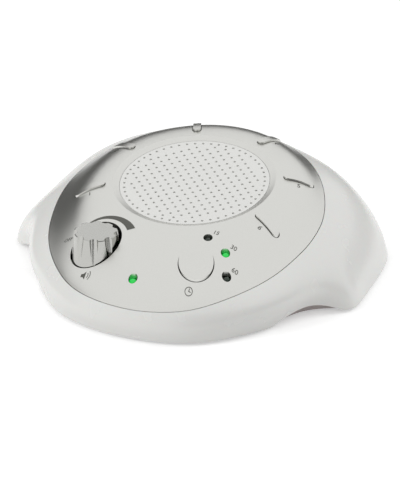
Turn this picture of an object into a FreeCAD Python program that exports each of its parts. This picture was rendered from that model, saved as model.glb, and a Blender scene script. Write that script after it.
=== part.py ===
import FreeCAD, Part
import os
from math import atan2, cos, degrees, hypot, radians, sin, tan
from FreeCAD import Placement, Rotation, Vector

# Sound machine for a bedside table: a white shell with two wings, a silver face plate round a
# perforated loudspeaker grille, sprung buttons, a volume knob, and a base with a battery bay.
# Millimetres, +Z up, front at -Y, origin on the table under the middle of the footprint.

os.makedirs("parts", exist_ok=True)

# Grille disc, the natural centre of the dome; it leans towards the front
grille_x, grille_y, grille_z = 0.0, 3.5, 42.0
grille_tilt = 8.0
grille_radius = 33.5
grille_drop = 1.2            # the disc lies this far below the dome
grille_thick = 1.8
grille_gap = 0.15            # round the disc
ring_radius = 36.5           # top of the bevel round the disc
flange_radius = 38.2         # flange of the grille under the face plate
flange_thick = 1.6
hole_radius = 0.62
hole_pitch = 3.7
hole_field = 29.4            # the square grid of holes ends here
rim_hole_circle = 31.4
rim_hole_count = 54

# Shell and face plate
shell_wall = 2.4
plate_wall = 2.0
part_line_gap = 0.25         # visible joint round the face plate
ledge_gap = 0.15             # between the plate's back and the ledge
ledge_thick = 1.8
ledge_width = 2.0
ledge_depth = 6.0            # plate and ledge end this far below the skin
shell_bottom = 1.3           # shell edge above the table
arch_rise = 4.6              # extra height of the edge between body and wings
arch_radius = 34.0
arch_angle = 66.0            # direction of each arch from the front

# Base
foot_height = 1.5            # base floor above the table
base_floor = 2.2
base_wall = 2.0
base_gap = 0.4               # between the base wall and the inside of the shell
base_top = 8.0
feet = [(-27, -50), (27, -50), (-52, 38), (52, 38)]
foot_radius = 6.0
foot_pocket = 0.8

# Housing screws, from below through the base into posts of the shell
posts = [(-36.5, -56.5), (36.5, -56.5), (-69, 4), (69, 4), (-50, 53), (50, 53)]
post_radius = 3.4
bracket_radius = 4.5         # web that carries a post from the ledge
post_seat = 6.0              # where the shell's posts meet the base's bosses
boss_radius = 4.8
screw_radius = 1.4
screw_clearance = 0.3
screw_head_radius = 2.8
screw_head_height = 1.7
counterbore_depth = 2.1
screw_length = 12.0

# Battery bay for four round cells side by side
cell_length = 50.5
cell_radius = 7.25
cell_count = 4
cell_play = 0.3
bay_wall = 1.2
bay_back_y = 33.0            # inner face of the bay's rear wall
spring_space = 5.5
contact_space = 1.0
door_border = 1.5            # floor left round the door inside the bay
door_gap = 0.3
door_thick = 1.7
door_pin_radius = 0.7
door_pin_length = 2.5
running_gap = 0.08
scoop_radius = 9.0
spring_reach = 4.0           # how far each leaf spring stands into the bay
spring_lip = 2.2
spring_thick = 0.4
spring_width = 6.0

# Control board and what stands on it
board_top = 15.0
board_thick = 1.6
board_inset = 7.0            # inside the face plate's edge
board_clearance = 1.5        # round the bay and the posts
standoff_radius = 3.0
board_screws = [(-9, -42), (9, -42), (-41, 3), (41, 3)]
board_screw_radius = 1.2
board_screw_head = 2.3
switch_size = 6.0
switch_height = 3.5
plunger_radius = 1.7
plunger_height = 0.8

# Buttons
slot_angles = [-112.5, -67.5, -22.5, 22.5, 67.5, 112.5]
slot_inner = 39.6            # ends of each slot, from the grille's centre
slot_outer = 53.4
slot_width = 4.2
button_gap = 0.3
button_proud = 0.9
button_travel = 0.8
press_room = 0.3             # left under a stem when its button is down
stem_radius = 1.5
switch_circle = 42.6
flange_gap = 0.3             # under the face plate
button_flange = 1.5
control_x, control_y = 24.0, -52.0   # timer to the right, knob to the left, from the grille
timer_radius = 7.65
timer_hole = 8.0
timer_lip = 0.9
timer_dish = 26.0

# Volume knob
knob_top_radius = 9.7
knob_foot_radius = 10.8
knob_hole = 11.4
knob_height = 14.0
knob_top = 35.6
knob_edge = 0.7
flute_count = 9
flute_radius = 2.1
flute_top_depth = 1.5
flute_length = 11.5
shaft_radius = 3.0
shaft_gap = 0.05
pot_radius = 8.0
pot_height = 4.6
bushing_radius = 4.2
bushing_height = 1.2

# Indicator lamps
lamp_radius = 1.75
lamp_hole = 2.05
lamp_length = 5.5
lamp_recess = 0.3
lamp_circle = 13.9           # the timer's lamps, round its centre
lamp_bearings = [("timer_led_15", 92.0), ("timer_led_30", 47.0), ("timer_led_60", 6.0)]
power_lamp_y = -65.4
spacer_radius = 2.3

# Loudspeaker, down from the grille's flange
gasket_thick = 1.0
gasket_inner = 28.5
basket_radius = 33.0
basket_thick = 1.0
basket_depth = 8.5
basket_foot_radius = 15.5
basket_wall = 0.8
magnet_radius = 15.0
magnet_height = 5.5
cone_radius = 26.5
cone_neck = 7.0
cone_depth = 6.0
cone_thick = 0.5
surround_width = 3.0
speaker_screw_circle = 35.7
speaker_boss_radius = 1.9
speaker_washer = 3.1
speaker_screw_radius = 1.0
speaker_screw_head = 1.2
speaker_screw_room = 0.2     # under the screw's point
cone_lift = 0.6              # thickness of the surround over the basket's rim

# Power inlet in the back wall
jack_width, jack_depth, jack_height = 9.0, 12.0, 11.0
jack_centre_z = 15.0
jack_gap = 0.3               # between the socket and the inside of the shell
jack_bore = 3.15
jack_bore_depth = 9.5
jack_pin = 1.0
jack_window = 4.2
wire_radius = 0.6
lead_height = 24.0           # speaker leads cross above the bay
lead_end_y = 47.0            # inlet leads meet the board's underside

# Rise of the skin between its stations' points, as shares of the way from one to the next
crown_share = 0.34           # ring to edge: the dome's crown
crown_drop = 0.6             # of the crown under the grille's plane
brow_share = 0.30            # edge to ring: the dome's brow
brow_slope = 0.80            # rise over run at the brow
shoulder_share = 0.45        # edge to foot
hip_share = 0.86             # edge to foot
skirt_height = 2.0           # the wall turns upright here
skirt_below = 8.0            # and goes on under the table, where it is cut off

# Half of the skin, front to back, measured from the grille centre. Each station gives the face
# plate's edge (x, y, z), the foot of the shell (x, y), how high the shoulder and the hip of the
# skin stand between them as shares of the edge's height above the table, and the wall's swell.
stations = [
    (0, -75.9, -26.4, 0, -78.5, 0.66, 0.35, 1.6),
    (16, -74.1, -25.7, 19.5, -76.5, 0.66, 0.35, 1.8),
    (30, -68.4, -24.3, 35.5, -69.5, 0.68, 0.36, 2.4),
    (40.6, -59.0, -22.7, 46.5, -57.5, 0.72, 0.38, 3.6),
    (49.2, -47.4, -21.1, 54.5, -46.5, 0.78, 0.42, 6.0),
    (55.5, -34, -18.9, 60, -35, 0.79, 0.43, 7.0),
    (58.6, -23, -16.6, 63.5, -26.5, 0.77, 0.42, 7.2),
    (60.3, -14, -14.7, 71.5, -20.5, 0.74, 0.38, 5.4),
    (60.8, -6, -13.0, 84.5, -15.5, 0.74, 0.33, 1.6),
    (60.2, 3, -10.9, 83.5, -3, 0.75, 0.32, 1.0),
    (57.2, 14, -8.0, 82.5, 12, 0.76, 0.36, 1.0),
    (51.2, 26, -4.9, 81.5, 28, 0.82, 0.36, 1.0),
    (42.5, 37, -2.4, 77.5, 47, 0.84, 0.38, 1.0),
    (30, 47, -0.8, 58, 64, 0.87, 0.42, 1.0),
    (15.5, 54.5, 0.0, 28, 69.5, 0.84, 0.46, 1.0),
    (0, 57.2, 0.2, 0, 70.5, 0.82, 0.48, 1.0)]


def rotated(point):
    """A point of the grille's own frame, placed in the model."""
    turn = Rotation(Vector(1, 0, 0), grille_tilt)
    return turn.multVec(Vector(*point)) + Vector(grille_x, grille_y, grille_z)


def mix(a, b, share):
    return a + (b - a) * share


def meridian(k):
    """Control points of the skin from the bevel ring down to below the table, at station k."""
    ex, ey, ez, fx, fy, shoulder, hip, swell = stations[k]
    edge = Vector(grille_x + ex, grille_y + ey, grille_z + ez)
    foot = Vector(grille_x + fx, grille_y + fy, 0)
    way = atan2(ex, -ey)
    ring = rotated((ring_radius * sin(way), -ring_radius * cos(way), 0))
    out = Vector(edge.x - ring.x, edge.y - ring.y, 0)
    flat = out.Length
    out.normalize()
    crown = flat * crown_share
    one = ring + out * crown + Vector(0, 0, tan(radians(grille_tilt)) * out.y * crown - crown_drop)
    two = edge - out * flat * brow_share + Vector(0, 0, flat * brow_share * brow_slope)
    three = mix(edge, foot, shoulder_share) + out * swell
    three.z = edge.z * shoulder
    four = mix(edge, foot, hip_share) + out * swell
    four.z = edge.z * hip
    low = Vector(foot.x, foot.y, skirt_height)
    under = Vector(foot.x, foot.y, -skirt_below)
    return [ring, one, two, edge, three, four, low, under]


def control_net():
    half = [meridian(k) for k in range(len(stations))]
    mirror = [[Vector(-p.x, p.y, p.z) for p in row] for row in half[-2:0:-1]]
    return half + mirror


def inset_net(net, inset):
    """The control net moved inwards along its own normals; its rim rings stay flat."""
    if inset == 0:
        return net
    count, rows = len(net), len(net[0])
    moved = []
    for i in range(count):
        row = []
        for j in range(rows):
            around = net[(i + 1) % count][j] - net[i - 1][j]
            along = net[i][min(j + 1, rows - 1)] - net[i][max(j - 1, 0)]
            normal = along.cross(around)
            normal.normalize()
            if j == 0:
                normal = rotated((0, 0, -1)) - rotated((0, 0, 0))
            if j == rows - 1:
                normal.z = 0
            row.append(net[i][j] - normal * inset if j else net[i][j] + normal * inset)
        moved.append(row)
    return moved


def skin_body(inset):
    """Solid under the skin, moved inwards by inset, with a flat top at the grille and a flat foot."""
    net = inset_net(control_net(), inset)
    around, along = len(net), len(net[0])
    skin = Part.BSplineSurface()
    inner = along - 3
    v_knots = [k / inner for k in range(inner + 1)]
    v_mults = [4] + [1] * (inner - 1) + [4]
    u_knots = [k / around for k in range(around + 1)]
    u_mults = [1] * (around + 1)
    skin.buildFromPolesMultsKnots(net, u_mults, v_mults, u_knots, v_knots, True, False, 3, 3)
    side = skin.toShape()
    rims = [edge for edge in side.Edges if edge.isClosed() and not edge.isSeam(side)]
    caps = [Part.Face(Part.Wire([rim])) for rim in rims]
    shell = Part.makeShell([side] + caps)
    shell.sewShape()
    solid = Part.makeSolid(Part.Shell(shell.Faces) if shell.ShapeType != "Shell" else shell)
    if solid.Volume < 0:
        solid.reverse()
    return solid


def plan_outline(offset):
    """Vertical prism whose plan is the face plate's edge, moved outwards by offset."""
    half = [Vector(grille_x + s[0], grille_y + s[1], 0) for s in stations]
    ring = half + [Vector(2 * grille_x - p.x, p.y, 0) for p in half[-2:0:-1]]
    moved = []
    for i, point in enumerate(ring):
        along = ring[(i + 1) % len(ring)] - ring[i - 1]
        normal = Vector(along.y, -along.x, 0)
        normal.normalize()
        moved.append(point + normal * offset)
    curve = Part.BSplineCurve()
    curve.interpolate(moved, PeriodicFlag=True)
    face = Part.Face(Part.Wire([curve.toShape()]))
    return face.extrude(Vector(0, 0, 90))


def rod(x, y, low, high, radius):
    """Upright cylinder between two heights."""
    return Part.makeCylinder(radius, high - low, Vector(x, y, low))


def block(x, y, low, high, width, depth):
    """Upright block centred on x, y."""
    return Part.makeBox(width, depth, high - low, Vector(x - width / 2, y - depth / 2, low))


def leaning_disc(radius, top, bottom, at=(0, 0)):
    """Cylinder square to the grille, its faces given as depths along the grille's axis."""
    axis = rotated((0, 0, 1)) - rotated((0, 0, 0))
    return Part.makeCylinder(radius, bottom - top, rotated((at[0], at[1], -bottom)), axis)


def leaning_cone(radius_top, radius_bottom, top, bottom):
    axis = rotated((0, 0, 1)) - rotated((0, 0, 0))
    return Part.makeCone(radius_bottom, radius_top, bottom - top, rotated((0, 0, -bottom)), axis)


def pill(angle, inner, outer, width, low, high):
    """Upright bar with round ends that points away from the grille, angle from the back."""
    length = outer - inner
    half = width / 2
    middle = (inner + outer) / 2
    bar = Part.makeBox(width, length - width, high - low, Vector(-half, middle - length / 2 + half, low))
    near = Part.makeCylinder(half, high - low, Vector(0, inner + half, low))
    far = Part.makeCylinder(half, high - low, Vector(0, outer - half, low))
    shape = bar.fuse([near, far]).removeSplitter()
    shape.Placement = Placement(Vector(grille_x, grille_y, 0), Rotation(Vector(0, 0, 1), -angle))
    return shape


def on_circle(angle, radius):
    """Place seen from above, from the grille's centre, angle from the back."""
    return grille_x + radius * sin(radians(angle)), grille_y + radius * cos(radians(angle))


def surface_height(x, y):
    """Height of the skin above the table at x, y."""
    line = Part.makeLine(Vector(x, y, 0.5), Vector(x, y, 90))
    return max(v.Z for v in skin.common(line).Vertexes)


def joined(shapes):
    """One solid from shapes that overlap or share faces."""
    return shapes[0].fuse(shapes[1:]).removeSplitter()


def wire_run(points, radius):
    """Insulated wire along points, its corners rounded as wide as the runs allow."""
    pieces = []
    start = points[0]
    for before, corner, after in zip(points, points[1:], points[2:]):
        back, ahead = before - corner, after - corner
        reach = 0.45 * min(back.Length, ahead.Length)
        back.normalize()
        ahead.normalize()
        enter, leave = corner + back * reach, corner + ahead * reach
        half_turn = back.getAngle(ahead) / 2
        bisector = back + ahead
        bisector.normalize()
        bend = reach * tan(half_turn)
        middle = corner + bisector * (reach / cos(half_turn) - bend)
        pieces.append(Part.LineSegment(start, enter).toShape())
        pieces.append(Part.Arc(enter, middle, leave).toShape())
        start = leave
    pieces.append(Part.LineSegment(start, points[-1]).toShape())
    path = Part.Wire(pieces)
    ring = Part.Wire([Part.makeCircle(radius, points[0], points[1] - points[0])])
    return path.makePipeShell([ring], True, True)


def save(name, shape):
    if isinstance(shape, list):
        shape = Part.makeCompound(shape)
    elif shape.ShapeType == "Compound" and len(shape.Solids) == 1:
        shape = shape.Solids[0]
    shape.exportStep("parts/" + name + ".step")
    print(name, len(shape.Solids), "solids", round(shape.Volume, 1), "mm3", shape.isValid())


skin = skin_body(0)
plate_under = skin_body(plate_wall)
above_table = Part.makeBox(300, 300, 100, Vector(-150, -150, shell_bottom))

# Upper housing: the white shell, its ledge for the face plate and its screw posts
shell = skin.cut(skin_body(shell_wall)).common(above_table)
shell = shell.cut(plan_outline(part_line_gap / 2))
under_plate = skin_body(plate_wall + ledge_gap)
ledge_layer = under_plate.cut(skin_body(plate_wall + ledge_gap + ledge_thick))
ledge_layer = ledge_layer.cut(skin.translated(Vector(0, 0, -ledge_depth)))
ledge = ledge_layer.common(plan_outline(shell_wall)).cut(plan_outline(-ledge_width)).common(above_table)
shell = shell.fuse(ledge)
kept_clear = plan_outline(part_line_gap / 2).cut(under_plate)
post_body = skin_body(shell_wall / 2)
for x, y in posts:
    post = rod(x, y, post_seat, 60, post_radius).common(post_body)
    bracket = rod(x, y, post_seat, 60, bracket_radius).common(ledge_layer)
    shell = shell.fuse([post.cut(kept_clear), bracket])
for x, y in posts:
    shell = shell.cut(rod(x, y, 0, screw_head_height + screw_length, screw_radius))
for side in (-1, 1):
    way = Vector(side * sin(radians(arch_angle)), -cos(radians(arch_angle)), 0)
    centre = Vector(grille_x, grille_y, shell_bottom + arch_rise - arch_radius)
    shell = shell.cut(Part.makeCylinder(arch_radius, 70, centre + way * 40, way))
jack_top = jack_centre_z + jack_height / 2
probe = Part.makeLine(Vector(0, 40, jack_top), Vector(0, 99, jack_top)).common(skin_body(shell_wall))
jack_back_y = max(v.Y for v in probe.Vertexes) - jack_gap
window = Part.makeCylinder(jack_window, 14, Vector(0, jack_back_y - 3, jack_centre_z), Vector(0, 1, 0))
shell = shell.cut(window)
save("upper_housing", shell)

# Face plate: silver skin with a bevelled ring for the grille and its openings
plate = skin.cut(plate_under).cut(skin.translated(Vector(0, 0, -ledge_depth)))
plate = plate.common(plan_outline(-part_line_gap / 2))
plate = plate.cut(leaning_disc(grille_radius + grille_gap, -5, 8))
plate = plate.cut(leaning_cone(ring_radius, grille_radius + grille_gap, 0, grille_drop))
for angle in slot_angles:
    plate = plate.cut(pill(angle, slot_inner, slot_outer, slot_width, 5, 80))
timer_x, timer_y = grille_x + control_x, grille_y + control_y
knob_x, knob_y = grille_x - control_x, grille_y + control_y
lamps = [("power_led", grille_x, grille_y + power_lamp_y)]
for name, bearing in lamp_bearings:
    way = radians(bearing)
    lamps.append((name, timer_x + lamp_circle * cos(way), timer_y + lamp_circle * sin(way)))
plate = plate.cut([rod(timer_x, timer_y, 5, 80, timer_hole), rod(knob_x, knob_y, 5, 80, knob_hole)])
plate = plate.cut([rod(x, y, 5, 80, lamp_hole) for name, x, y in lamps])
save("face_plate", plate)

# Speaker grille: perforated disc with a flange glued under the face plate and four bosses
flange_bottom = plate_wall + flange_thick
grille = leaning_disc(grille_radius, grille_drop, flange_bottom)
grille = grille.fuse(leaning_disc(flange_radius, plate_wall, flange_bottom).common(plate_under))
grille = grille.cut(leaning_disc(grille_radius - 1.5, grille_drop + grille_thick, flange_bottom + 1))
gasket_bottom = flange_bottom + gasket_thick
basket_bottom = gasket_bottom + basket_thick
screw_point = plate_wall + flange_thick / 2
screw_places = []
for turn in (45, 135, 225, 315):
    screw_places.append((speaker_screw_circle * cos(radians(turn)), speaker_screw_circle * sin(radians(turn))))
for place in screw_places:
    grille = grille.fuse(leaning_disc(speaker_boss_radius, flange_bottom - 0.5, basket_bottom, place))
for place in screw_places:
    grille = grille.cut(leaning_disc(speaker_screw_radius, screw_point - speaker_screw_room, basket_bottom + 1, place))
holes = []
steps = int(hole_field * 2 / hole_pitch)
for i in range(-steps, steps + 1):
    for j in range(-steps, steps + 1):
        x = (i - j) * hole_pitch * sin(radians(45))
        y = (i + j) * hole_pitch * sin(radians(45))
        if hypot(x, y) < hole_field:
            holes.append(leaning_disc(hole_radius, 0, flange_bottom, (x, y)))
for i in range(rim_hole_count):
    way = radians(360 * i / rim_hole_count)
    place = (rim_hole_circle * cos(way), rim_hole_circle * sin(way))
    holes.append(leaning_disc(hole_radius, 0, flange_bottom, place))
grille = grille.cut(holes)
save("speaker_grille", grille)

# Loudspeaker: foam gasket, pressed basket, magnet, paper cone with a rolled surround
gasket = leaning_disc(basket_radius, flange_bottom, gasket_bottom)
save("speaker_gasket", gasket.cut(leaning_disc(gasket_inner, flange_bottom - 1, gasket_bottom + 1)))
cup_bottom = basket_bottom + basket_depth
cup = leaning_cone(gasket_inner + basket_wall, basket_foot_radius, basket_bottom, cup_bottom)
basket = leaning_disc(basket_radius, gasket_bottom, basket_bottom).fuse(cup)
hollow = leaning_cone(gasket_inner, basket_foot_radius - basket_wall, basket_bottom, cup_bottom - basket_wall)
basket = basket.cut(leaning_disc(gasket_inner, gasket_bottom - 1, basket_bottom)).cut(hollow)
save("speaker_basket", basket.removeSplitter())
save("speaker_magnet", leaning_disc(magnet_radius, cup_bottom, cup_bottom + magnet_height))
cone_top = gasket_bottom + cone_lift
cone = leaning_cone(cone_radius, cone_neck, cone_top, cone_top + cone_depth)
cone = cone.cut(leaning_cone(cone_radius, cone_neck, cone_top - cone_thick, cone_top + cone_depth - cone_thick))
neck = leaning_disc(cone_neck, cone_top + cone_depth - cone_thick, cup_bottom - basket_wall)
save("speaker_cone", joined([cone, neck]))
surround = leaning_disc(gasket_inner, gasket_bottom, cone_top)
save("speaker_surround", surround.cut(leaning_disc(cone_radius - surround_width, 0, cone_top + 1)))
screws = []
for place in screw_places:
    head = leaning_disc(speaker_washer, basket_bottom, basket_bottom + speaker_screw_head, place)
    screws.append(head.fuse(leaning_disc(speaker_screw_radius, screw_point, basket_bottom, place)))
save("speaker_screws", screws)

# Sound buttons: six bars that slide in the slots, each with a stem over its switch
raised = skin.translated(Vector(0, 0, button_proud))
flange_layer = skin_body(plate_wall + flange_gap).cut(skin_body(plate_wall + flange_gap + button_flange))
button_inside = skin_body(plate_wall + flange_gap + button_flange)
stem_body = skin_body(plate_wall + flange_gap + 0.3)
stem_low = board_top + switch_height + plunger_height + button_travel + press_room
switches = []
switch_spots = [on_circle(angle, switch_circle) for angle in slot_angles] + [(timer_x, timer_y)]
for number, angle in enumerate(slot_angles, 1):
    bar = pill(angle, slot_inner + button_gap, slot_outer - button_gap, slot_width - 2 * button_gap, 5, 80)
    top = bar.common(raised).cut(button_inside)
    lip = pill(angle, slot_inner + 3, slot_outer - 3, slot_width + 2.4, 5, 80).common(flange_layer)
    x, y = on_circle(angle, switch_circle)
    stem = rod(x, y, stem_low, 60, stem_radius).common(stem_body)
    save("sound_button_%d" % number, joined([top, lip, stem]))

# Timer button: round, dished, with a lip under the face plate
timer_z = surface_height(timer_x, timer_y)
top = rod(timer_x, timer_y, 5, 80, timer_radius).common(raised).cut(button_inside)
slope = Vector(surface_height(timer_x - 3, timer_y) - surface_height(timer_x + 3, timer_y),
               surface_height(timer_x, timer_y - 3) - surface_height(timer_x, timer_y + 3), 6)
slope.normalize()
dish_centre = Vector(timer_x, timer_y, timer_z + button_proud - 0.9) + slope * timer_dish
top = top.cut(Part.makeSphere(timer_dish, dish_centre))
lip = rod(timer_x, timer_y, 5, 80, timer_hole + timer_lip).common(flange_layer)
stem = rod(timer_x, timer_y, stem_low, 60, stem_radius).common(stem_body)
stem = stem.cut(Part.makeSphere(timer_dish, dish_centre))
save("timer_button", joined([top, lip, stem]))

# Tact switches under the buttons
for x, y in switch_spots:
    case = block(x, y, board_top, board_top + switch_height, switch_size, switch_size)
    high = board_top + switch_height + plunger_height
    switches.append(case.fuse(rod(x, y, board_top + switch_height, high, plunger_radius)))
save("button_switches", switches)

# Volume knob: tapered, fluted, pressed onto the potentiometer's shaft
knob_low = knob_top - knob_height
knob = Part.makeCone(knob_foot_radius, knob_top_radius, knob_height, Vector(knob_x, knob_y, knob_low))
rim = [edge for edge in knob.Edges if edge.isClosed() and abs(edge.BoundBox.ZMax - knob_top) < 0.01]
rim = [edge for edge in rim if edge.BoundBox.ZLength < 0.01]
knob = knob.makeFillet(knob_edge, rim)
widening = (knob_foot_radius - knob_top_radius) * flute_length / knob_height
flute_lean = degrees(atan2(flute_top_depth + widening, flute_length))
for i in range(flute_count):
    flute = Part.makeCylinder(flute_radius, 30, Vector(0, 0, -15))
    flute.rotate(Vector(0, 0, 0), Vector(0, 1, 0), -flute_lean)
    flute.translate(Vector(knob_top_radius + flute_radius - flute_top_depth, 0, 0))
    flute.Placement = Placement(Vector(knob_x, knob_y, knob_top), Rotation(
        Vector(0, 0, 1), 360 * (i + 0.25) / flute_count)).multiply(flute.Placement)
    knob = knob.cut(flute)
shaft_top = knob_top - 3.0
knob = knob.cut(rod(knob_x, knob_y, knob_low - 1, shaft_top, shaft_radius))
knob = knob.cut(rod(knob_x, knob_y, knob_low - 1, knob_low + 2.0, bushing_radius + 1.0))
save("volume_knob", knob)
pot_top = board_top + pot_height
save("potentiometer_shaft", rod(knob_x, knob_y, board_top + 1.5, shaft_top, shaft_radius))
pot = rod(knob_x, knob_y, board_top, pot_top, pot_radius)
pot = pot.fuse(rod(knob_x, knob_y, pot_top, pot_top + bushing_height, bushing_radius))
pot = pot.cut(rod(knob_x, knob_y, board_top + 1.5 - shaft_gap, pot_top + 9, shaft_radius + shaft_gap))
save("potentiometer_body", pot)

# Indicator lamps on their spacers
spacers = []
for name, x, y in lamps:
    tip = surface_height(x, y) - lamp_recess
    low = tip - lamp_length
    lamp = rod(x, y, low, tip - lamp_radius, lamp_radius)
    dome = Part.makeSphere(lamp_radius, Vector(x, y, tip - lamp_radius))
    save(name, joined([lamp, dome]))
    spacers.append(rod(x, y, board_top, low, spacer_radius).cut(rod(x, y, board_top + 1, low + 1, 0.9)))
save("led_spacers", spacers)

# Base: floor, wall inside the shell, battery bay, bosses and standoffs
base_outer = skin_body(shell_wall + base_gap)
base_inner = skin_body(shell_wall + base_gap + base_wall)
slab = Part.makeBox(300, 300, base_top - foot_height, Vector(-150, -150, foot_height))
floor_top = foot_height + base_floor
above_floor = Part.makeBox(300, 300, 90, Vector(-150, -150, floor_top))
base = base_outer.common(slab).cut(base_inner.common(above_floor))
cell_pitch = 2 * (cell_radius + cell_play)
bay_width = cell_count * cell_pitch
bay_length = cell_length + spring_space + contact_space
bay_y = bay_back_y - bay_length / 2
bay_ceiling = foot_height + door_thick + 2 * (cell_radius + cell_play)
bay = block(0, bay_y, foot_height, bay_ceiling + bay_wall, bay_width + 2 * bay_wall, bay_length + 2 * bay_wall)
base = base.fuse(bay)
for x, y in posts:
    base = base.fuse(rod(x, y, foot_height, post_seat, boss_radius).common(base_outer))
for x, y in board_screws:
    base = base.fuse(rod(x, y, foot_height, board_top - board_thick, standoff_radius))
saddle_low = jack_centre_z - jack_height / 2
saddle_y = jack_back_y - jack_depth / 2
base = base.fuse(block(0, saddle_y, foot_height, saddle_low, jack_width + 3, jack_depth).common(base_outer))
base = base.cut(block(0, saddle_y, saddle_low, 40, jack_width + 1, jack_depth + 12))
base = base.cut(block(0, bay_y, floor_top, bay_ceiling, bay_width, bay_length))
door_width = bay_width - 2 * door_border
door_length = bay_length - 2 * door_border
base = base.cut(block(0, bay_y, foot_height - 1, floor_top + 1, door_width, door_length))
for x, y in posts:
    base = base.cut(rod(x, y, 0, foot_height + counterbore_depth, screw_head_radius + screw_clearance))
    base = base.cut(rod(x, y, 0, 30, screw_radius + screw_clearance))
    base = base.cut(rod(x, y, post_seat, 30, post_radius + base_gap))
for x, y in board_screws:
    base = base.cut(rod(x, y, floor_top + 2, 30, board_screw_radius))
for x, y in feet:
    base = base.cut(rod(x, y, 0, foot_height + foot_pocket, foot_radius))
door_front = bay_y - door_length / 2 + door_gap
door_back = bay_y + door_length / 2 - door_gap
hinge_y = door_front + door_thick / 2
hinge_z = foot_height + door_thick / 2
pin_reach = door_width + 2 * door_pin_length
pin_hole = Part.makeCylinder(door_pin_radius + running_gap, pin_reach + 0.6,
                             Vector(-pin_reach / 2 - 0.3, hinge_y, hinge_z), Vector(1, 0, 0))
base = base.cut(pin_hole)
save("lower_housing", base)

# Battery door: swings down on two pins at its front edge, finger scoop at the back
panel_width = door_width - 2 * door_gap
door = block(0, (hinge_y + door_back) / 2, foot_height, foot_height + door_thick, panel_width, door_back - hinge_y)
barrel = Part.makeCylinder(door_thick / 2, panel_width, Vector(-panel_width / 2, hinge_y, hinge_z), Vector(1, 0, 0))
pins = Part.makeCylinder(door_pin_radius, pin_reach, Vector(-pin_reach / 2, hinge_y, hinge_z), Vector(1, 0, 0))
door = joined([door, barrel, pins])
scoop = Part.makeSphere(scoop_radius, Vector(0, door_back - 3, foot_height + 0.9 - scoop_radius))
save("battery_door", door.cut(scoop))

# Battery contacts: flat plates at both ends, leaf springs on the bay's front wall
bay_front_y = bay_back_y - bay_length
cell_z = foot_height + door_thick + cell_radius + cell_play
plates = []
springs = []
for i in range(cell_count):
    x = (i - (cell_count - 1) / 2) * cell_pitch
    plates.append(block(x, bay_back_y - 0.25, cell_z - 5, cell_z + 5, 10, 0.5))
    front = bay_front_y + 0.5
    bend = [Vector(x, front, cell_z - 5), Vector(x, front + spring_reach, cell_z),
            Vector(x, front + spring_lip, cell_z + 5)]
    back = [point + Vector(0, spring_thick, 0) for point in reversed(bend)]
    leaf = Part.Face(Part.makePolygon(bend + back + bend[:1])).extrude(Vector(spring_width, 0, 0))
    springs.append(leaf.translated(Vector(-spring_width / 2, 0, 0)))
    plates.append(block(x, bay_front_y + 0.25, cell_z - 5, cell_z + 5, 10, 0.5))
save("battery_contacts", plates)
save("battery_springs", springs)

# Control board: follows the face plate's plan, open round the bay and the posts
board = plan_outline(-board_inset).common(
    Part.makeBox(300, 300, board_thick, Vector(-150, -150, board_top - board_thick)))
board = board.cut(block(0, bay_y, 5, 40, bay_width + 2 * (bay_wall + board_clearance),
                        bay_length + 2 * (bay_wall + board_clearance)))
board = board.cut([rod(x, y, 5, 40, boss_radius + 0.2) for x, y in posts])
board = board.cut([rod(x, y, 5, 40, board_screw_radius + 0.2) for x, y in board_screws])
save("control_board", board)
screws = []
for x, y in board_screws:
    shank = rod(x, y, floor_top + 3, board_top, board_screw_radius)
    screws.append(shank.fuse(rod(x, y, board_top, board_top + 1.4, board_screw_head)))
save("board_screws", screws)

# Parts soldered on the board: sound chip, amplifier chip, two capacitors, socket
parts = [block(0, -51, board_top, board_top + 1.6, 12, 8), block(-6, -59.5, board_top, board_top + 1.4, 6, 4),
         rod(8.5, -58, board_top, board_top + 5.5, 2.5), rod(47.5, -6, board_top, board_top + 6, 2.5),
         block(-47.5, -6, board_top, board_top + 4, 4, 7)]
save("board_components", parts)

# Screws that hold base and shell together, and the rubber feet
screws = []
for x, y in posts:
    seat = foot_height + counterbore_depth
    head = rod(x, y, seat - screw_head_height, seat, screw_head_radius)
    screws.append(head.fuse(rod(x, y, seat, screw_length, screw_radius)))
save("housing_screws", screws)
save("rubber_feet", [rod(x, y, 0, foot_height + foot_pocket, foot_radius) for x, y in feet])

# Power inlet: socket with its centre pin, on the base's saddle behind the shell's window
case = block(0, saddle_y, saddle_low, saddle_low + jack_height, jack_width, jack_depth)
mouth = Vector(0, jack_back_y - jack_bore_depth, jack_centre_z)
case = case.cut(Part.makeCylinder(jack_bore, 20, mouth, Vector(0, 1, 0)))
case = case.fuse(Part.makeCylinder(jack_pin, jack_bore_depth - 1, mouth, Vector(0, 1, 0)))
save("dc_jack", case)

# Wires: loudspeaker to board, battery bay to board, inlet to board
leads = []
for y in (-9.0, -6.5):
    start = rotated((-basket_foot_radius - 4, y, -cup_bottom + 1.6))
    bend = Vector(-27, start.y, lead_height)
    down = Vector(-35.5, start.y, lead_height)
    leads.append(wire_run([start, bend, down, Vector(-35.5, start.y, board_top)], wire_radius))
save("speaker_leads", leads)
lead_low = board_top - board_thick
leads = []
for x in (-19.0, -16.0):
    start = Vector(x, bay_front_y - bay_wall, lead_low - 4)
    leads.append(wire_run([start, start + Vector(0, -4.5, 0), start + Vector(0, -4.5, 4)], wire_radius))
save("battery_leads", leads)
leads = []
for x in (-2.0, 2.0):
    start = Vector(x, jack_back_y - jack_depth, lead_low - 3)
    bend = Vector(x, lead_end_y, lead_low - 3)
    leads.append(wire_run([start, bend, Vector(x, lead_end_y, lead_low)], wire_radius))
save("jack_leads", leads)
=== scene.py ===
from math import atan2, cos, pi, radians, sin

import bmesh
import bpy
from mathutils import Matrix, Vector
from mathutils.bvhtree import BVHTree


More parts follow.
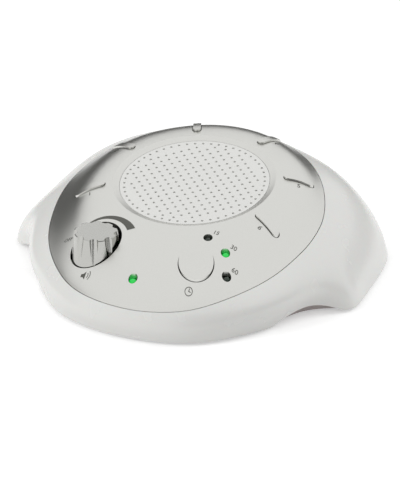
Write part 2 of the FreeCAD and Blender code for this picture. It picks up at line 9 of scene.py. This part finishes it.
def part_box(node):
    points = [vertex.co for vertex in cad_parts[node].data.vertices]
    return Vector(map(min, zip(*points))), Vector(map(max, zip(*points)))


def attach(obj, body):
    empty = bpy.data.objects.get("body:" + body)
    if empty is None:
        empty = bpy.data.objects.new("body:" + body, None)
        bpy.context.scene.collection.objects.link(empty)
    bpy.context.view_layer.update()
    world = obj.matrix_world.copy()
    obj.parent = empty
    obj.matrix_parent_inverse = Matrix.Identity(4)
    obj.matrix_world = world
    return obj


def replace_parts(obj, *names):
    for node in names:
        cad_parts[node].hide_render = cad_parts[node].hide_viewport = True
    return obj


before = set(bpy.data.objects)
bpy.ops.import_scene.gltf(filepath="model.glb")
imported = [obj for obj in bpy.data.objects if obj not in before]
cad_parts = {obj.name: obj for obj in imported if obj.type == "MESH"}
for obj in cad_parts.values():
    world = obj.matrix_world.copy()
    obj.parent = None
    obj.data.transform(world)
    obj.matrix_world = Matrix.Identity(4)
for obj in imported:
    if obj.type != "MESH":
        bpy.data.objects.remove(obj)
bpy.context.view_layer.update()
scene = bpy.context.scene
scene.view_settings.view_transform = "Standard"

# White shell. One injection moulding in glossy white ABS, a dome that spreads into two wings.
# It rests over the base, is screwed to it from below, and carries the face plate on its ledge.
MM = 0.001


def linear(code):
    """sRGB hex code to the linear colour that a shader takes."""
    channels = [int(code[i:i + 2], 16) / 255 for i in (1, 3, 5)]
    return [c / 12.92 if c <= 0.04045 else ((c + 0.055) / 1.055) ** 2.4 for c in channels] + [1.0]


def add(tree, kind, settings=None, links=None):
    """Adds a node, sets its properties and sockets, and links its inputs."""
    made = tree.nodes.new(kind)
    for name, value in (settings or {}).items():
        if isinstance(name, str) and hasattr(made, name):
            setattr(made, name, value)
        else:
            made.inputs[name].default_value = value
    for name, source in (links or {}).items():
        tree.links.new(source, made.inputs[name])
    return made


def start_finish(name, colour, roughness, **sockets):
    """A material with its surface shader set, and the object's own coordinates for patterns."""
    made = bpy.data.materials.new(name)
    made.use_nodes = True
    tree = made.node_tree
    shader = tree.nodes["Principled BSDF"]
    shader.inputs["Base Color"].default_value = linear(colour)
    shader.inputs["Roughness"].default_value = roughness
    for socket, value in sockets.items():
        shader.inputs[socket.replace("_", " ")].default_value = value
    return made, tree, shader, add(tree, "ShaderNodeTexCoord").outputs["Object"]


def surface_grain(tree, shader, place, size, depth, strength, gloss=None):
    """Bump of a real size in millimetres, and a roughness that wanders slowly between two values."""
    fine = add(tree, "ShaderNodeTexNoise", {"Scale": 1 / (size * MM), "Detail": 2.0}, {"Vector": place})
    bump = add(tree, "ShaderNodeBump", {"Strength": strength, "Distance": depth * MM},
               {"Height": fine.outputs["Fac"]})
    tree.links.new(bump.outputs["Normal"], shader.inputs["Normal"])
    if gloss:
        slow = add(tree, "ShaderNodeTexNoise", {"Scale": 1 / (18 * MM), "Detail": 3.0}, {"Vector": place})
        spread = add(tree, "ShaderNodeMapRange", {"To Min": gloss[0], "To Max": gloss[1]},
                     {"Value": slow.outputs["Fac"]})
        tree.links.new(spread.outputs["Result"], shader.inputs["Roughness"])


def mottle(tree, shader, place, size, first, second):
    """Base colour that drifts between two close shades over a real size in millimetres."""
    cloud = add(tree, "ShaderNodeTexNoise", {"Scale": 1 / (size * MM), "Detail": 4.0}, {"Vector": place})
    shade = add(tree, "ShaderNodeMix", {"data_type": "RGBA", 6: linear(first), 7: linear(second)},
                {0: cloud.outputs["Fac"]})
    tree.links.new(shade.outputs[2], shader.inputs["Base Color"])


def dress(finish, *names):
    """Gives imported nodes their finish."""
    for name in names:
        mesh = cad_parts[name].data
        mesh.materials.clear()
        mesh.materials.append(finish)


# Injection-moulded ABS from a polished tool: a soft sheen, with the faint sink and flow of a
# moulded wall in its reflections
moulded_abs, tree, shader, place = start_finish("injection_moulded_white_abs", "#EDEDEA", 0.26, IOR=1.53,
                                                Subsurface_Weight=0.05, Subsurface_Scale=0.002)
surface_grain(tree, shader, place, 9.0, 0.05, 0.05, (0.22, 0.31))
mottle(tree, shader, place, 30, "#ECECE9", "#EFEFEC")
dress(moulded_abs, "upper_housing")

# Base and battery door. Grey ABS mouldings with a fine spark-eroded texture. The door snaps in
# on two pins at its front edge and has a finger scoop and grip ribs at the back.
textured_abs, tree, shader, place = start_finish("spark_textured_grey_abs", "#B3A9A8", 0.6, IOR=1.53)
surface_grain(tree, shader, place, 0.4, 0.04, 0.5, (0.52, 0.68))
mottle(tree, shader, place, 22, "#B0A6A5", "#B7AEAC")
dress(textured_abs, "lower_housing", "battery_door")


def place_piece(name, bm, finish, body, smooth=True):
    """Turns a bmesh into a piece with its finish that rides on a body."""
    mesh = bpy.data.meshes.new(name)
    bm.normal_update()
    bm.to_mesh(mesh)
    bm.free()
    for face in mesh.polygons:
        face.use_smooth = smooth
    mesh.materials.append(finish)
    piece = bpy.data.objects.new(name, mesh)
    bpy.context.collection.objects.link(piece)
    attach(piece, body)
    return piece


def add_rib(bm, length, width, height, centre):
    """Adds a moulded rib along X with a rounded crown that points down, centred at a point."""
    steps = 8
    rings = []
    for x, swell in ((-length / 2, 0.05), (-length / 2 + width * 0.35, 0.8), (-length / 2 + width, 1.0),
                     (length / 2 - width, 1.0), (length / 2 - width * 0.35, 0.8), (length / 2, 0.05)):
        ring = []
        for k in range(steps + 1):
            angle = pi * k / steps
            across, drop = -cos(angle) * width / 2 * max(swell, 0.3), -sin(angle) * height * swell
            ring.append(bm.verts.new(centre + Vector((x, across, drop))))
        rings.append(ring)
    for one, two in zip(rings, rings[1:]):
        for k in range(steps):
            bm.faces.new((one[k], two[k], two[k + 1], one[k + 1]))


door_low, door_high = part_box("battery_door")
grip = bmesh.new()
for step in range(5):
    add_rib(grip, 15 * MM, 0.8 * MM, 0.3 * MM,
            Vector((0, door_high.y - (9.5 + 1.6 * step) * MM, door_low.z + 0.02 * MM)))
place_piece("battery_door_grip", grip, textured_abs, "door")

# Rubber feet. Four moulded rubber discs glued in pockets of the base, dull and slightly dusty.
moulded_rubber, tree, shader, place = start_finish("moulded_rubber", "#2C2C2B", 0.85, IOR=1.52)
surface_grain(tree, shader, place, 0.5, 0.05, 0.5, (0.76, 0.92))
mottle(tree, shader, place, 5, "#272727", "#343332")
dress(moulded_rubber, "rubber_feet")

# Screws. Zinc-plated steel, pan heads with a cross recess. Six hold the base in the shell from
# below, four hold the board on its posts and four hold the loudspeaker under the grille.
zinc_steel, tree, shader, place = start_finish("zinc_plated_steel", "#BDBDB9", 0.3, Metallic=1.0)
surface_grain(tree, shader, place, 0.7, 0.02, 0.2, (0.24, 0.42))
mottle(tree, shader, place, 3, "#B4B4B0", "#C6C5C0")


def add_turned(bm, profile, matrix, steps=32):
    """Turns a profile of (radius, height) points in metres round the Z axis of a matrix."""
    rings = []
    for radius, height in profile:
        if radius < 1e-7:
            rings.append([bm.verts.new(matrix @ Vector((0, 0, height)))])
        else:
            rings.append([bm.verts.new(matrix @ Vector((radius * cos(2 * pi * k / steps),
                                                        radius * sin(2 * pi * k / steps), height)))
                          for k in range(steps)])
    for one, two in zip(rings, rings[1:]):
        for k in range(steps):
            after = (k + 1) % steps
            corners = [one[k % len(one)], one[after % len(one)], two[after % len(two)], two[k % len(two)]]
            if len(set(corners)) > 2:
                bm.faces.new(list(dict.fromkeys(corners)))


def add_cross_screw(bm, matrix, head_radius, head_height, shank_radius, shank_length):
    """Adds a screw: head on the origin of a matrix, crown along +Z, thread along -Z."""
    half_slot, reach, depth, steps = head_radius * 0.13, head_radius * 0.55, head_height * 0.6, 48
    rim = [(head_radius * cos(2 * pi * k / steps), head_radius * sin(2 * pi * k / steps))
           for k in range(steps)]
    cross = []
    for quarter in range(4):
        c, s = cos(quarter * pi / 2), sin(quarter * pi / 2)
        for x, y in ((reach, -half_slot), (reach, half_slot), (half_slot, half_slot)):
            cross.append((x * c - y * s, x * s + y * c))
    crown = head_height * 0.35
    foot = [bm.verts.new(matrix @ Vector((x, y, 0))) for x, y in rim]
    side = [bm.verts.new(matrix @ Vector((x, y, head_height - crown))) for x, y in rim]
    top = [bm.verts.new(matrix @ Vector((x * 0.75, y * 0.75, head_height))) for x, y in rim]
    lip = [bm.verts.new(matrix @ Vector((x, y, head_height))) for x, y in cross]
    deep = [bm.verts.new(matrix @ Vector((x * 0.6, y * 0.6, head_height - depth))) for x, y in cross]
    for k in range(steps):
        after = (k + 1) % steps
        bm.faces.new((foot[k], foot[after], side[after], side[k]))
        bm.faces.new((side[k], side[after], top[after], top[k]))
    for k in range(12):
        after = (k + 1) % 12
        bm.faces.new((deep[k], deep[after], lip[after], lip[k]))
    bm.faces.new(deep)
    edges = [bm.edges.get((top[k], top[(k + 1) % steps])) for k in range(steps)]
    edges += [bm.edges.get((lip[k], lip[(k + 1) % 12])) for k in range(12)]
    bmesh.ops.triangle_fill(bm, edges=edges, use_beauty=True)
    thread = [(head_radius, 0.0), (shank_radius, 0.0)]
    for turn in range(int(shank_length / MM)):
        thread += [(shank_radius * 0.82, -(turn + 0.45) * MM), (shank_radius, -(turn + 0.9) * MM)]
    add_turned(bm, thread + [(0.0, -shank_length)], matrix, 20)


low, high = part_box("housing_screws")
base_screw_places = ((-36.5, -56.5), (36.5, -56.5), (-69, 4), (69, 4), (-50, 53), (50, 53))
base_screw_seat, base_screw_start = 3.6, 3.65
base_screws = bmesh.new()
for x, y in base_screw_places:
    seat = Matrix.Translation(Vector((x, y, base_screw_seat)) * MM) @ Matrix.Rotation(pi, 4, "X")
    add_cross_screw(base_screws, seat, 2.75 * MM, 1.65 * MM, 1.38 * MM, high.z - base_screw_start * MM)
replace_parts(place_piece("housing_cross_screws", base_screws, zinc_steel, "housing", False),
            "housing_screws")
low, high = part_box("board_screws")
board_screw_places = ((-9, -42), (9, -42), (-41, 3), (41, 3))
board_top = 15
small_screws = bmesh.new()
for x, y in board_screw_places:
    seat = Matrix.Translation(Vector((x, y, board_top)) * MM)
    add_cross_screw(small_screws, seat, 2.28 * MM, 1.38 * MM, 1.18 * MM, board_top * MM - low.z)
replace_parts(place_piece("board_cross_screws", small_screws, zinc_steel, "housing", False),
            "board_screws")
dress(zinc_steel, "speaker_screws")

# Face plate. An ABS moulding sprayed with fine aluminium-flake paint under a satin clear coat,
# pressed into the recess of the shell and glued on its ledge, with a bright bevel round the grille.
# The flakes are too small to see one by one, so they are drawn at 0.35 mm to give the paint its life.
silver_paint, tree, shader, place = start_finish("satin_silver_paint", "#D6D6D2", 0.3, Metallic=1.0,
                                                 Coat_Weight=0.1, Coat_Roughness=0.22)
surface_grain(tree, shader, place, 0.35, 0.012, 0.10, (0.27, 0.33))
mottle(tree, shader, place, 0.35, "#D0D0CC", "#DCDCD8")
dress(silver_paint, "face_plate", "timer_button", *["sound_button_%d" % n for n in range(1, 7)])

# Grille. A satin white ABS disc, pierced with a square grid of holes and a ring of holes at the
# rim, held under the face plate by its flange.
satin_abs, tree, shader, place = start_finish("satin_white_abs", "#EBEBE8", 0.42, IOR=1.53)
surface_grain(tree, shader, place, 0.6, 0.02, 0.15, (0.38, 0.48))
mottle(tree, shader, place, 20, "#E9E9E6", "#EDEDEA")
dress(satin_abs, "speaker_grille")

# Printing. Dark grey pad-printed ink, a few hundredths of a millimetre thick, that follows the
# dome of the face plate: the volume wedge, the off mark, plain numbers and two plain symbols.
pad_ink, tree, shader, place = start_finish("pad_printed_ink", "#56564F", 0.5, IOR=1.5)
surface_grain(tree, shader, place, 0.3, 0.01, 0.2, (0.45, 0.6))
mottle(tree, shader, place, 0.6, "#50504A", "#5C5C56")
ink_lift = 0.04 * MM
plate_shape = BVHTree.FromObject(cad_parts["face_plate"], bpy.context.evaluated_depsgraph_get())


def plate_point(x, y):
    """Point and normal on the outer surface of the plate above or below x, y in metres."""
    return plate_shape.ray_cast(Vector((x, y, 0.2)), Vector((0, 0, -1)))[:2]


def print_on_plate(name, points, faces):
    """Lays flat points in metres on the outer surface of the plate, finely divided, as a film of ink."""
    bm = bmesh.new()
    corners = [bm.verts.new((x, y, 0)) for x, y in points]
    for face in faces:
        bm.faces.new([corners[k] for k in face])
    bmesh.ops.remove_doubles(bm, verts=bm.verts, dist=1e-7)
    bmesh.ops.triangulate(bm, faces=bm.faces)
    for halving in range(4):
        long_edges = [e for e in bm.edges if e.calc_length() > 0.8 * MM]
        if long_edges:
            bmesh.ops.subdivide_edges(bm, edges=long_edges, cuts=1)
            bmesh.ops.triangulate(bm, faces=bm.faces)
    for vert in bm.verts:
        hit, normal = plate_point(vert.co.x, vert.co.y)
        vert.co = hit + normal * ink_lift
    place_piece(name, bm, pad_ink, "housing")


def print_text(name, words, x, y, height, turn=0.0):
    """Prints digits or a switch word in a plain face, centred on x, y in metres."""
    capital_share = 0.72
    curve = bpy.data.curves.new(name + "_outline", "FONT")
    curve.body, curve.size = words, height / capital_share
    curve.align_x, curve.align_y = "CENTER", "CENTER"
    curve.resolution_u, curve.offset = 3, height * 0.012
    text = bpy.data.objects.new(name + "_outline", curve)
    bpy.context.collection.objects.link(text)
    flat = bpy.data.meshes.new_from_object(text.evaluated_get(bpy.context.evaluated_depsgraph_get()))
    bpy.data.objects.remove(text)
    c, s = cos(turn), sin(turn)
    points = [(x + v.co.x * c - v.co.y * s, y + v.co.x * s + v.co.y * c) for v in flat.vertices]
    faces = [tuple(p.vertices) for p in flat.polygons]
    bpy.data.meshes.remove(flat)
    print_on_plate(name, points, faces)


def arc_band(x, y, bearings, inner, widths, steps=36):
    """Points and faces of an arc in millimetres; each pair runs from its first bearing to its last."""
    points = []
    for k in range(steps + 1):
        degrees, near, width = [a + (b - a) * k / steps for a, b in (bearings, inner, widths)]
        turn = radians(degrees)
        points += [((x + r * cos(turn)) * MM, (y + r * sin(turn)) * MM) for r in (near, near + width)]
    return points, [(2 * k, 2 * k + 2, 2 * k + 3, 2 * k + 1) for k in range(steps)]


knob_x, knob_y = -24, -48.5
print_on_plate("volume_wedge", *arc_band(knob_x, knob_y, (150, 34), (12.7, 13.8), (0.25, 3.6), 60))
tick_turn = radians(153)
tick = [((knob_x + r * cos(tick_turn) - w * sin(tick_turn)) * MM,
         (knob_y + r * sin(tick_turn) + w * cos(tick_turn)) * MM)
        for r, w in ((12.8, -0.14), (14.8, -0.14), (14.8, 0.14), (12.8, 0.14))]
print_on_plate("off_tick", tick, [(0, 1, 2, 3)])
print_text("off_mark", "OFF", (knob_x - 15.4) * MM, (knob_y + 4.0) * MM, 1.7 * MM)

for minutes in ("15", "30", "60"):
    low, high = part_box("timer_led_" + minutes)
    print_text("timer_number_" + minutes, minutes, (low.x + high.x) / 2 + 2.2 * MM,
               (low.y + high.y) / 2 + 4.0 * MM, 2.1 * MM)

grille_y, grille_top = 3.5, 42.0
slot_bearings = (-112.5, -67.5, -22.5, 22.5, 67.5, 112.5)
for number, bearing in enumerate(slot_bearings, 1):
    along = Vector((sin(radians(bearing)), cos(radians(bearing))))
    beside = Vector((along.y, -along.x)) * (1 if bearing > 0 else -1)
    spot = Vector((0, grille_y * MM)) + along * 46.5 * MM + beside * 4.6 * MM
    reading = along if bearing > 0 else -along
    print_text("sound_number_%d" % number, str(number), spot.x, spot.y, 2.4 * MM,
               atan2(reading.y, reading.x))

# Clock symbol under the timer button: a ring and two hands
clock_x, clock_y = 25.7, -60.2
print_on_plate("timer_symbol_ring", *arc_band(clock_x, clock_y, (0, 360), (1.45, 1.45), (0.32, 0.32)))
hands = ((-0.16, -0.16), (0.95, -0.16), (0.95, 0.16), (0.16, 0.16),
         (0.16, 1.2), (-0.16, 1.2), (-0.16, 0.16))
print_on_plate("timer_symbol_hands", [((clock_x + x) * MM, (clock_y + y) * MM) for x, y in hands],
               [(0, 1, 2, 3, 6), (3, 4, 5, 6)])

# Loudspeaker symbol under the knob: a box, a horn and two arcs
horn_x, horn_y = -22.6, -62.8
horn = ((-2.1, -0.6), (-1.1, -0.6), (0.0, -1.5), (0.0, 1.5), (-1.1, 0.6), (-2.1, 0.6))
print_on_plate("volume_symbol_horn", [((horn_x + x) * MM, (horn_y + y) * MM) for x, y in horn],
               [(0, 1, 4, 5), (1, 2, 3, 4)])
for arc_number, arc_radius in enumerate((1.1, 2.1), 1):
    print_on_plate("volume_symbol_arc_%d" % arc_number,
                   *arc_band(horn_x, horn_y, (-45, 45), (arc_radius, arc_radius), (0.32, 0.32), 12))

# Painted shade in the button gaps. A black strip sits just under the plate's surface round each bar
# and round the timer button. It stands in for the shade deep in each gap and shows as the dark line round
# it.
gap_shade_black, tree, shader, place = start_finish("painted_gap_shade_black", "#1A1A1A", 0.7, IOR=1.43)
surface_grain(tree, shader, place, 0.5, 0.02, 0.3, (0.62, 0.8))
mottle(tree, shader, place, 2, "#161616", "#202020")
shade_strip_depth, shade_strip_height = 0.15 * MM, 0.8 * MM


def gap_lip(name, outline, inner, outer, beyond):
    """Painted shade: a black strip round a gap, just under the plate's surface; outline(w) gives the points
    at w mm from the button's middle line.
    """
    bm = bmesh.new()
    tops = [plate_point(x * MM, y * MM)[0].z - shade_strip_depth for x, y in outline(beyond)]
    near = [bm.verts.new((x * MM, y * MM, z)) for (x, y), z in zip(outline(inner), tops)]
    far = [bm.verts.new((x * MM, y * MM, z)) for (x, y), z in zip(outline(outer), tops)]
    deep = [bm.verts.new((x * MM, y * MM, z - shade_strip_height)) for (x, y), z in zip(outline(inner), tops)]
    for k in range(len(tops)):
        after = (k + 1) % len(tops)
        bm.faces.new((near[k], far[k], far[after], near[after]))
        bm.faces.new((near[after], deep[after], deep[k], near[k]))
    place_piece(name, bm, gap_shade_black, "housing")


def bar_outline(w, ahead):
    """Points at w mm round the middle line of the bar that lies at a bearing from the grille."""
    points = []
    for middle, start in ((41.7, 90), (51.3, -90)):
        for k in range(13):
            turn = ahead + radians(start + 15 * k)
            points.append((middle * cos(ahead) + w * cos(turn),
                           grille_y + middle * sin(ahead) + w * sin(turn)))
    return points


timer_x, timer_y = 24, -48.5
# Painted shade strips in the gaps round the six bars and round the timer button
for number, bearing in enumerate(slot_bearings, 1):
    gap_lip("sound_gap_painted_shade_%d" % number, lambda w: bar_outline(w, radians(90 - bearing)), 1.82, 2.08, 2.5)
gap_lip("timer_gap_painted_shade", lambda w: [(timer_x + w * cos(2 * pi * k / 64), timer_y + w * sin(2 * pi * k / 64))
                                    for k in range(64)], 7.68, 7.98, 8.4)

# Volume knob. Fluted ABS sprayed silver like the plate and lacquered glossier, pressed on the
# steel shaft of the potentiometer; the flutes give the fingers their grip.
lacquered_silver, tree, shader, place = start_finish("lacquered_silver_paint", "#C4C4C0", 0.16, Metallic=1.0,
                                                     Coat_Weight=0.2, Coat_Roughness=0.08)
surface_grain(tree, shader, place, 0.35, 0.01, 0.05, (0.14, 0.2))
mottle(tree, shader, place, 0.35, "#B2B2AE", "#BEBEBA")
dress(lacquered_silver, "volume_knob")

# Indicator lamps. Round 3 mm lamps cast in green epoxy, in holes of the face plate: the power
# lamp and the 30-minute lamp are lit, and the other two are dark.
lit_epoxy, tree, shader, place = start_finish("lit_green_epoxy", "#0E8A30", 0.25, IOR=1.55,
                                              Emission_Strength=0.7)
surface_grain(tree, shader, place, 1.0, 0.02, 0.15)
mottle(tree, shader, place, 1.5, "#0E8A30", "#17A03C")
shader.inputs["Emission Color"].default_value = linear("#1CC04A")
dress(lit_epoxy, "power_led", "timer_led_30")
dark_epoxy, tree, shader, place = start_finish("unlit_green_epoxy", "#14241A", 0.12, IOR=1.55)
surface_grain(tree, shader, place, 1.0, 0.02, 0.15)
mottle(tree, shader, place, 1.5, "#101C14", "#1C3324")
dress(dark_epoxy, "timer_led_15", "timer_led_60")

# Loudspeaker. A pressed steel basket with a ferrite magnet hangs under the grille. Its pleated
# paper cone is glued in a half-roll surround, and a foam gasket seals the rim to the grille.
ferrite, tree, shader, place = start_finish("sintered_ferrite", "#2E2D2C", 0.55, IOR=2.0)
surface_grain(tree, shader, place, 0.8, 0.06, 0.5, (0.45, 0.65))
mottle(tree, shader, place, 4, "#292827", "#353432")
dress(ferrite, "speaker_magnet")
pressed_steel, tree, shader, place = start_finish("pressed_zinc_steel", "#A9A9A5", 0.38, Metallic=1.0)
surface_grain(tree, shader, place, 2.0, 0.04, 0.2, (0.3, 0.46))
mottle(tree, shader, place, 6, "#9F9F9B", "#B2B2AD")
dress(pressed_steel, "speaker_basket", "potentiometer_body")

grille_centre = Vector((0, grille_y, grille_top)) * MM
grille_lean = Matrix.Translation(grille_centre) @ Matrix.Rotation(radians(8), 4, "X")
felted_foam, tree, shader, place = start_finish("closed_cell_foam", "#232322", 0.95, IOR=1.45)
surface_grain(tree, shader, place, 0.5, 0.12, 0.9, (0.88, 1.0))
mottle(tree, shader, place, 1.2, "#1E1E1D", "#2B2B2A")
gasket_profile = ((28.6, 4.5), (28.55, 4.1), (28.6, 3.7), (29.0, 3.62), (32.5, 3.62), (32.9, 3.7),
                  (32.95, 4.1), (32.9, 4.5), (32.5, 4.58), (29.0, 4.58), (28.6, 4.5))
ring = bmesh.new()
add_turned(ring, [(r * MM, -d * MM) for r, d in gasket_profile], grille_lean, 96)
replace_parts(place_piece("speaker_foam_gasket", ring, felted_foam, "housing"), "speaker_gasket")

rubber_roll, tree, shader, place = start_finish("butyl_rubber", "#1C1C1D", 0.5, IOR=1.52)
surface_grain(tree, shader, place, 0.6, 0.03, 0.3, (0.42, 0.6))
mottle(tree, shader, place, 3, "#181819", "#232324")
roll_top = [(26.0 - 2.2 * cos(pi * k / 12), 4.75 - 0.75 * sin(pi * k / 12)) for k in range(13)]
roll_back = [(r, d + 0.3) for r, d in reversed(roll_top)]
roll_profile = ([(23.5, 4.75)] + roll_top + [(28.4, 4.75), (28.4, 5.05)] + roll_back
                + [(23.5, 5.05), (23.5, 4.75)])
rolled = bmesh.new()
add_turned(rolled, [(r * MM, -d * MM) for r, d in roll_profile], grille_lean, 96)
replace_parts(place_piece("speaker_half_roll", rolled, rubber_roll, "housing"),
            "speaker_surround")

pulp_paper, tree, shader, place = start_finish("pressed_pulp_paper", "#2B2A28", 0.85, IOR=1.45)
surface_grain(tree, shader, place, 0.7, 0.08, 0.6, (0.78, 0.92))
mottle(tree, shader, place, 1.0, "#242321", "#34332F")
cone_rim, cone_neck, rim_depth, cone_depth, paper_thick = 26.3, 7.0, 5.25, 5.6, 0.35
pleat_height, pleat_pitch = 0.12, 3.2
pleated = []
for k in range(25):
    radius = cone_rim - (cone_rim - cone_neck) * k / 24
    pleat = pleat_height * sin(2 * pi * radius / pleat_pitch)
    pleated.append((radius, rim_depth + cone_depth * k / 24 + pleat))
cap_dome = [(6.9 * cos(pi / 2 * k / 8), 10.9 - 2.6 * sin(pi / 2 * k / 8)) for k in range(9)]
cone_back = [(0.0, 11.3)] + [(r, d + paper_thick) for r, d in reversed(pleated)] + [(cone_rim, rim_depth)]
membrane = bmesh.new()
add_turned(membrane, [(r * MM, -d * MM) for r, d in pleated + cap_dome + cone_back], grille_lean, 96)
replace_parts(place_piece("speaker_paper_cone", membrane, pulp_paper, "housing"), "speaker_cone")

# Control board. Fibreglass laminate under green solder mask, screwed on four posts of the base,
# with its switches, lamp spacers and other parts soldered on.
solder_mask, tree, shader, place = start_finish("green_solder_mask", "#1D5B36", 0.35, IOR=1.5)
surface_grain(tree, shader, place, 0.5, 0.02, 0.2, (0.3, 0.45))
mottle(tree, shader, place, 3, "#1A5230", "#216640")
dress(solder_mask, "control_board")
black_nylon, tree, shader, place = start_finish("moulded_black_nylon", "#191919", 0.48, IOR=1.53)
surface_grain(tree, shader, place, 0.4, 0.02, 0.3, (0.42, 0.56))
mottle(tree, shader, place, 2, "#161616", "#1F1F1F")
dress(black_nylon, "button_switches", "led_spacers", "board_components", "dc_jack")

# Contacts and shaft. Nickel-plated steel strip and rod, bright and slightly warm.
nickel, tree, shader, place = start_finish("nickel_plated_steel", "#C9C5BA", 0.22, Metallic=1.0)
surface_grain(tree, shader, place, 0.8, 0.02, 0.15, (0.18, 0.3))
mottle(tree, shader, place, 3, "#C2BEB2", "#D0CCC2")
dress(nickel, "battery_contacts", "battery_springs", "potentiometer_shaft")

# Leads. Stranded wire in soft PVC, clipped between the board, the loudspeaker, the battery
# contacts and the inlet.
pvc, tree, shader, place = start_finish("pvc_wire_jacket", "#8E1B18", 0.45, IOR=1.54)
surface_grain(tree, shader, place, 0.5, 0.02, 0.2, (0.4, 0.55))
mottle(tree, shader, place, 4, "#861815", "#97201C")
dress(pvc, "speaker_leads", "battery_leads", "jack_leads")

# Studio floor: pale paper that shows white to the camera and to reflections and keeps the
# shadow of the part.
reach = 3.0
floor_mesh = bpy.data.meshes.new("studio_floor")
floor_mesh.from_pydata([(-reach, -reach, 0), (reach, -reach, 0), (reach, reach, 0), (-reach, reach, 0)], [],
                       [(0, 1, 2, 3)])
floor = bpy.data.objects.new("studio_floor", floor_mesh)
bpy.context.collection.objects.link(floor)
paper = bpy.data.materials.new("white_paper")
paper.use_nodes = True
tree = paper.node_tree
tree.nodes.clear()


def seen_directly(tree):
    """Socket that is 1 for camera, glossy and transmission rays and 0 for the light that falls on things."""
    rays = add(tree, "ShaderNodeLightPath")
    either = add(tree, "ShaderNodeMath", {"operation": "MAXIMUM"},
                 {0: rays.outputs["Is Camera Ray"], 1: rays.outputs["Is Glossy Ray"]})
    return add(tree, "ShaderNodeMath", {"operation": "MAXIMUM"},
               {0: either.outputs[0], 1: rays.outputs["Is Transmission Ray"]}).outputs[0]


sheet = add(tree, "ShaderNodeBsdfDiffuse", {"Color": linear("#E8E8E8")})
glow = add(tree, "ShaderNodeEmission", {"Color": linear("#FFFFFF"), "Strength": 0.42})
lifted = add(tree, "ShaderNodeAddShader", links={0: sheet.outputs[0], 1: glow.outputs[0]})
pick = add(tree, "ShaderNodeMixShader",
           links={0: seen_directly(tree), 1: sheet.outputs[0], 2: lifted.outputs[0]})
add(tree, "ShaderNodeOutputMaterial", links={"Surface": pick.outputs[0]})
floor_mesh.materials.append(paper)

# Studio cards of grey felt, outside the picture, that only reflections see. One curves round the
# back and left of the part, where the silver plate mirrors it as the dark sweep along its back and
# left edge, and one stands at the front right.
grey_felt = bpy.data.materials.new("grey_felt")
grey_felt.use_nodes = True
grey_felt.node_tree.nodes["Principled BSDF"].inputs["Base Color"].default_value = linear("#3A3A38")
grey_felt.node_tree.nodes["Principled BSDF"].inputs["Roughness"].default_value = 1.0


def curved_card(name, radius, first, last, height_first, height_last, steps=48):
    """Upright card round the part, from one bearing in degrees to another, sloping between two heights."""
    points = []
    for k in range(steps + 1):
        turn = radians(first + (last - first) * k / steps)
        height = height_first + (height_last - height_first) * k / steps
        points += [(radius * cos(turn), radius * sin(turn), z) for z in (0.0, height)]
    mesh = bpy.data.meshes.new(name)
    mesh.from_pydata(points, [], [(2 * k, 2 * k + 1, 2 * k + 3, 2 * k + 2) for k in range(steps)])
    mesh.materials.append(grey_felt)
    card = bpy.data.objects.new(name, mesh)
    bpy.context.collection.objects.link(card)
    card.visible_camera = card.visible_shadow = card.visible_diffuse = False


curved_card("back_card", 0.34, 35, 222, 0.10, 0.19)
curved_card("front_card", 0.34, -72, 5, 0.26, 0.12)

# Studio light: a white surround, one soft round lamp at the front left and one at the back right.
# Reflections don't show the lamps.
white_surround = bpy.data.worlds.new("white_surround")
scene.world = white_surround
white_surround.use_nodes = True
tree = white_surround.node_tree
tree.nodes.clear()
soft = add(tree, "ShaderNodeBackground", {"Color": linear("#FFFFFF"), "Strength": 0.55})
white = add(tree, "ShaderNodeBackground", {"Color": linear("#FFFFFF"), "Strength": 1.0})
pick = add(tree, "ShaderNodeMixShader",
           links={0: seen_directly(tree), 1: soft.outputs[0], 2: white.outputs[0]})
add(tree, "ShaderNodeOutputWorld", links={"Surface": pick.outputs[0]})


def soft_lamp(name, spot, size, power):
    """Round soft lamp at a spot in metres, aimed at the part."""
    lamp_data = bpy.data.lights.new(name, "AREA")
    lamp_data.shape, lamp_data.size, lamp_data.energy = "DISK", size, power
    lamp = bpy.data.objects.new(name, lamp_data)
    lamp.location = spot
    lamp.rotation_euler = Vector(spot).to_track_quat("Z", "Y").to_euler()
    lamp.visible_glossy = False
    bpy.context.collection.objects.link(lamp)


soft_lamp("left_lamp", (-0.8, -0.7, 0.7), 0.6, 5.0)
soft_lamp("right_lamp", (0.8, 0.6, 0.8), 0.6, 4.0)

# Camera: far off with a long lens, to the right of the part's front and above it, as in the
# photograph.
azimuth, elevation = radians(24), radians(27)
photo_wide, photo_high = 400, 489
pixels_per_mm = 2.245
grille_in_photo = (194.4, 179.7)
away = 1.8
to_right = Vector((cos(azimuth), sin(azimuth), 0))
to_camera = Vector((sin(azimuth) * cos(elevation), -cos(azimuth) * cos(elevation), sin(elevation)))
to_top = to_right.cross(-to_camera)
aim = grille_centre.copy()
aim += to_right * (photo_wide / 2 - grille_in_photo[0]) / pixels_per_mm * MM
aim -= to_top * (photo_high / 2 - grille_in_photo[1]) / pixels_per_mm * MM
long_lens = bpy.data.cameras.new("long_lens")
long_lens.sensor_fit, long_lens.sensor_width = "AUTO", 36.0
long_lens.lens = long_lens.sensor_width * away / (photo_high / pixels_per_mm * MM)
long_lens.clip_end = 20
camera = bpy.data.objects.new("long_lens", long_lens)
camera.location = aim + to_camera * away
camera.rotation_euler = to_camera.to_track_quat("Z", "Y").to_euler()
bpy.context.collection.objects.link(camera)
scene.camera = camera
